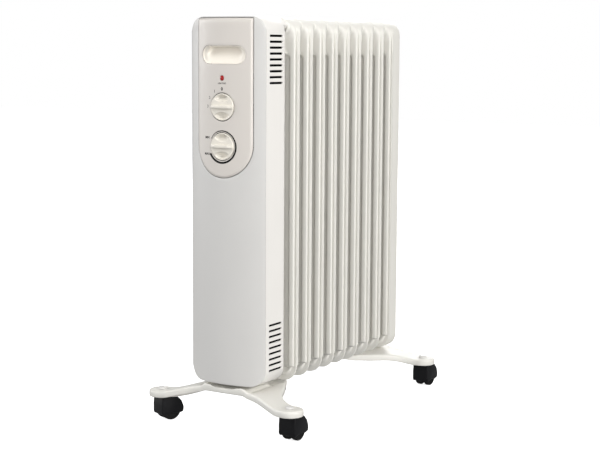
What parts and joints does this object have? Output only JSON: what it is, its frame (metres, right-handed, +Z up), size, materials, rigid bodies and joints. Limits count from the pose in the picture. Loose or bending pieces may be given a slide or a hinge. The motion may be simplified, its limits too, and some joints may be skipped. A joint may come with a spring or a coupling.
{
  "type": "oil filled radiator heater",
  "caption": "Free-standing oil filled column radiator with a bow-fronted control housing, two turning knobs, a finger recess and curved feet on swivelling twin-wheel castors.",
  "frame": {"origin": "centre of the object's footprint on the floor (bounding box bottom centre), under the middle of the fins", "axes": "+Z up; the control panel faces -Y and the fins run towards +Y; +X is the user's right when facing the panel"},
  "size_m": [0.2946, 0.512, 0.665],
  "materials": {
    "cream_metal": "satin powder coat, warm white",
    "cream_plastic": "fine satin moulded plastic, warm white",
    "inlay": "smooth pearl plastic, slightly glossy",
    "knob": "satin warm cream plastic",
    "black_plastic": "black moulded plastic",
    "black_rubber": "black rubber tread",
    "steel": "zinc plated steel",
    "brass": "plain brass",
    "red_lens": "translucent red plastic lens"
  },
  "bodies": {
    "heater": {"fin_1": "cream_metal", "fin_2": "cream_metal", "fin_3": "cream_metal", "fin_4": "cream_metal", "fin_5": "cream_metal", "fin_6": "cream_metal", "fin_7": "cream_metal", "fin_8": "cream_metal", "fin_9": "cream_metal", "rear_end_panel": "cream_metal", "lower_header_plug": "steel", "oil_fill_plug": "brass", "heating_element": "steel", "upper_header_spacer": "steel", "housing_shell": "cream_metal", "front_cover": "cream_plastic", "panel_inlay": "inlay", "handle_cup": "cream_plastic", "control_bracket": "steel", "power_switch_body": "black_plastic", "thermostat_body": "steel", "power_lamp_lens": "red_lens", "power_lamp_body": "black_plastic", "thermal_cutout": "black_plastic", "terminal_block": "black_plastic", "cord_gland": "black_rubber", "tip_switch_body": "black_plastic", "front_foot": "cream_metal", "front_u_bolt": "steel", "front_wing_nut_left": "steel", "front_wing_nut_right": "steel", "rear_foot": "cream_metal", "rear_u_bolt": "steel", "rear_wing_nut_left": "steel", "rear_wing_nut_right": "steel", "castor_front_left_cap": "cream_plastic", "castor_front_right_cap": "cream_plastic", "castor_rear_left_cap": "cream_plastic", "castor_rear_right_cap": "cream_plastic"},
    "power_control": {"power_knob": "knob", "power_shaft": "steel"},
    "thermostat_control": {"thermostat_knob": "knob", "thermostat_shaft": "steel"},
    "tip_over_weight": {"tip_switch_weight": "steel"},
    "castor_front_left": {"castor_front_left_hood": "black_plastic", "castor_front_left_axle": "steel"},
    "castor_front_left_wheel_outer": {"castor_front_left_wheel_outer": "black_rubber"},
    "castor_front_left_wheel_inner": {"castor_front_left_wheel_inner": "black_rubber"},
    "castor_front_right": {"castor_front_right_hood": "black_plastic", "castor_front_right_axle": "steel"},
    "castor_front_right_wheel_outer": {"castor_front_right_wheel_outer": "black_rubber"},
    "castor_front_right_wheel_inner": {"castor_front_right_wheel_inner": "black_rubber"},
    "castor_rear_left": {"castor_rear_left_hood": "black_plastic", "castor_rear_left_axle": "steel"},
    "castor_rear_left_wheel_outer": {"castor_rear_left_wheel_outer": "black_rubber"},
    "castor_rear_left_wheel_inner": {"castor_rear_left_wheel_inner": "black_rubber"},
    "castor_rear_right": {"castor_rear_right_hood": "black_plastic", "castor_rear_right_axle": "steel"},
    "castor_rear_right_wheel_outer": {"castor_rear_right_wheel_outer": "black_rubber"},
    "castor_rear_right_wheel_inner": {"castor_rear_right_wheel_inner": "black_rubber"}
  },
  "joints": [
    {"name": "power_knob_turn", "type": "hinge", "parent": "heater", "child": "power_control", "pos_m": [0, -0.2388, 0.523], "axis": [0, -1, 0], "range_deg": [-90, 30]},
    {"name": "thermostat_knob_turn", "type": "hinge", "parent": "heater", "child": "thermostat_control", "pos_m": [0, -0.2388, 0.4605], "axis": [0, -1, 0], "range_deg": [-150, 150]},
    {"name": "tip_over_swing", "type": "hinge", "parent": "heater", "child": "tip_over_weight", "pos_m": [0, -0.196, 0.334], "axis": [1, 0, 0], "range_deg": [-20, 20]},
    {"name": "castor_front_left_swivel", "type": "hinge", "parent": "heater", "child": "castor_front_left", "pos_m": [-0.1253, -0.234, 0.041], "axis": [0, 0, 1], "continuous": true},
    {"name": "castor_front_left_wheel_outer_roll", "type": "hinge", "parent": "castor_front_left", "child": "castor_front_left_wheel_outer", "pos_m": [-0.12878, -0.22073, 0.0175], "axis": [0.9272, -0.3746, 0], "continuous": true},
    {"name": "castor_front_left_wheel_inner_roll", "type": "hinge", "parent": "castor_front_left", "child": "castor_front_left_wheel_inner", "pos_m": [-0.11358, -0.22687, 0.0175], "axis": [0.9272, -0.3746, 0], "continuous": true},
    {"name": "castor_front_right_swivel", "type": "hinge", "parent": "heater", "child": "castor_front_right", "pos_m": [0.1253, -0.234, 0.041], "axis": [0, 0, 1], "continuous": true},
    {"name": "castor_front_right_wheel_outer_roll", "type": "hinge", "parent": "castor_front_right", "child": "castor_front_right_wheel_outer", "pos_m": [0.1335, -0.223, 0.0175], "axis": [1, 0, 0], "continuous": true},
    {"name": "castor_front_right_wheel_inner_roll", "type": "hinge", "parent": "castor_front_right", "child": "castor_front_right_wheel_inner", "pos_m": [0.1171, -0.223, 0.0175], "axis": [1, 0, 0], "continuous": true},
    {"name": "castor_rear_left_swivel", "type": "hinge", "parent": "heater", "child": "castor_rear_left", "pos_m": [-0.1253, 0.223, 0.041], "axis": [0, 0, 1], "continuous": true},
    {"name": "castor_rear_left_wheel_outer_roll", "type": "hinge", "parent": "castor_rear_left", "child": "castor_rear_left_wheel_outer", "pos_m": [-0.1335, 0.234, 0.0175], "axis": [1, 0, 0], "continuous": true},
    {"name": "castor_rear_left_wheel_inner_roll", "type": "hinge", "parent": "castor_rear_left", "child": "castor_rear_left_wheel_inner", "pos_m": [-0.1171, 0.234, 0.0175], "axis": [1, 0, 0], "continuous": true},
    {"name": "castor_rear_right_swivel", "type": "hinge", "parent": "heater", "child": "castor_rear_right", "pos_m": [0.1253, 0.223, 0.041], "axis": [0, 0, 1], "continuous": true},
    {"name": "castor_rear_right_wheel_outer_roll", "type": "hinge", "parent": "castor_rear_right", "child": "castor_rear_right_wheel_outer", "pos_m": [0.1335, 0.234, 0.0175], "axis": [1, 0, 0], "continuous": true},
    {"name": "castor_rear_right_wheel_inner_roll", "type": "hinge", "parent": "castor_rear_right", "child": "castor_rear_right_wheel_inner", "pos_m": [0.1171, 0.234, 0.0175], "axis": [1, 0, 0], "continuous": true}
  ]
}
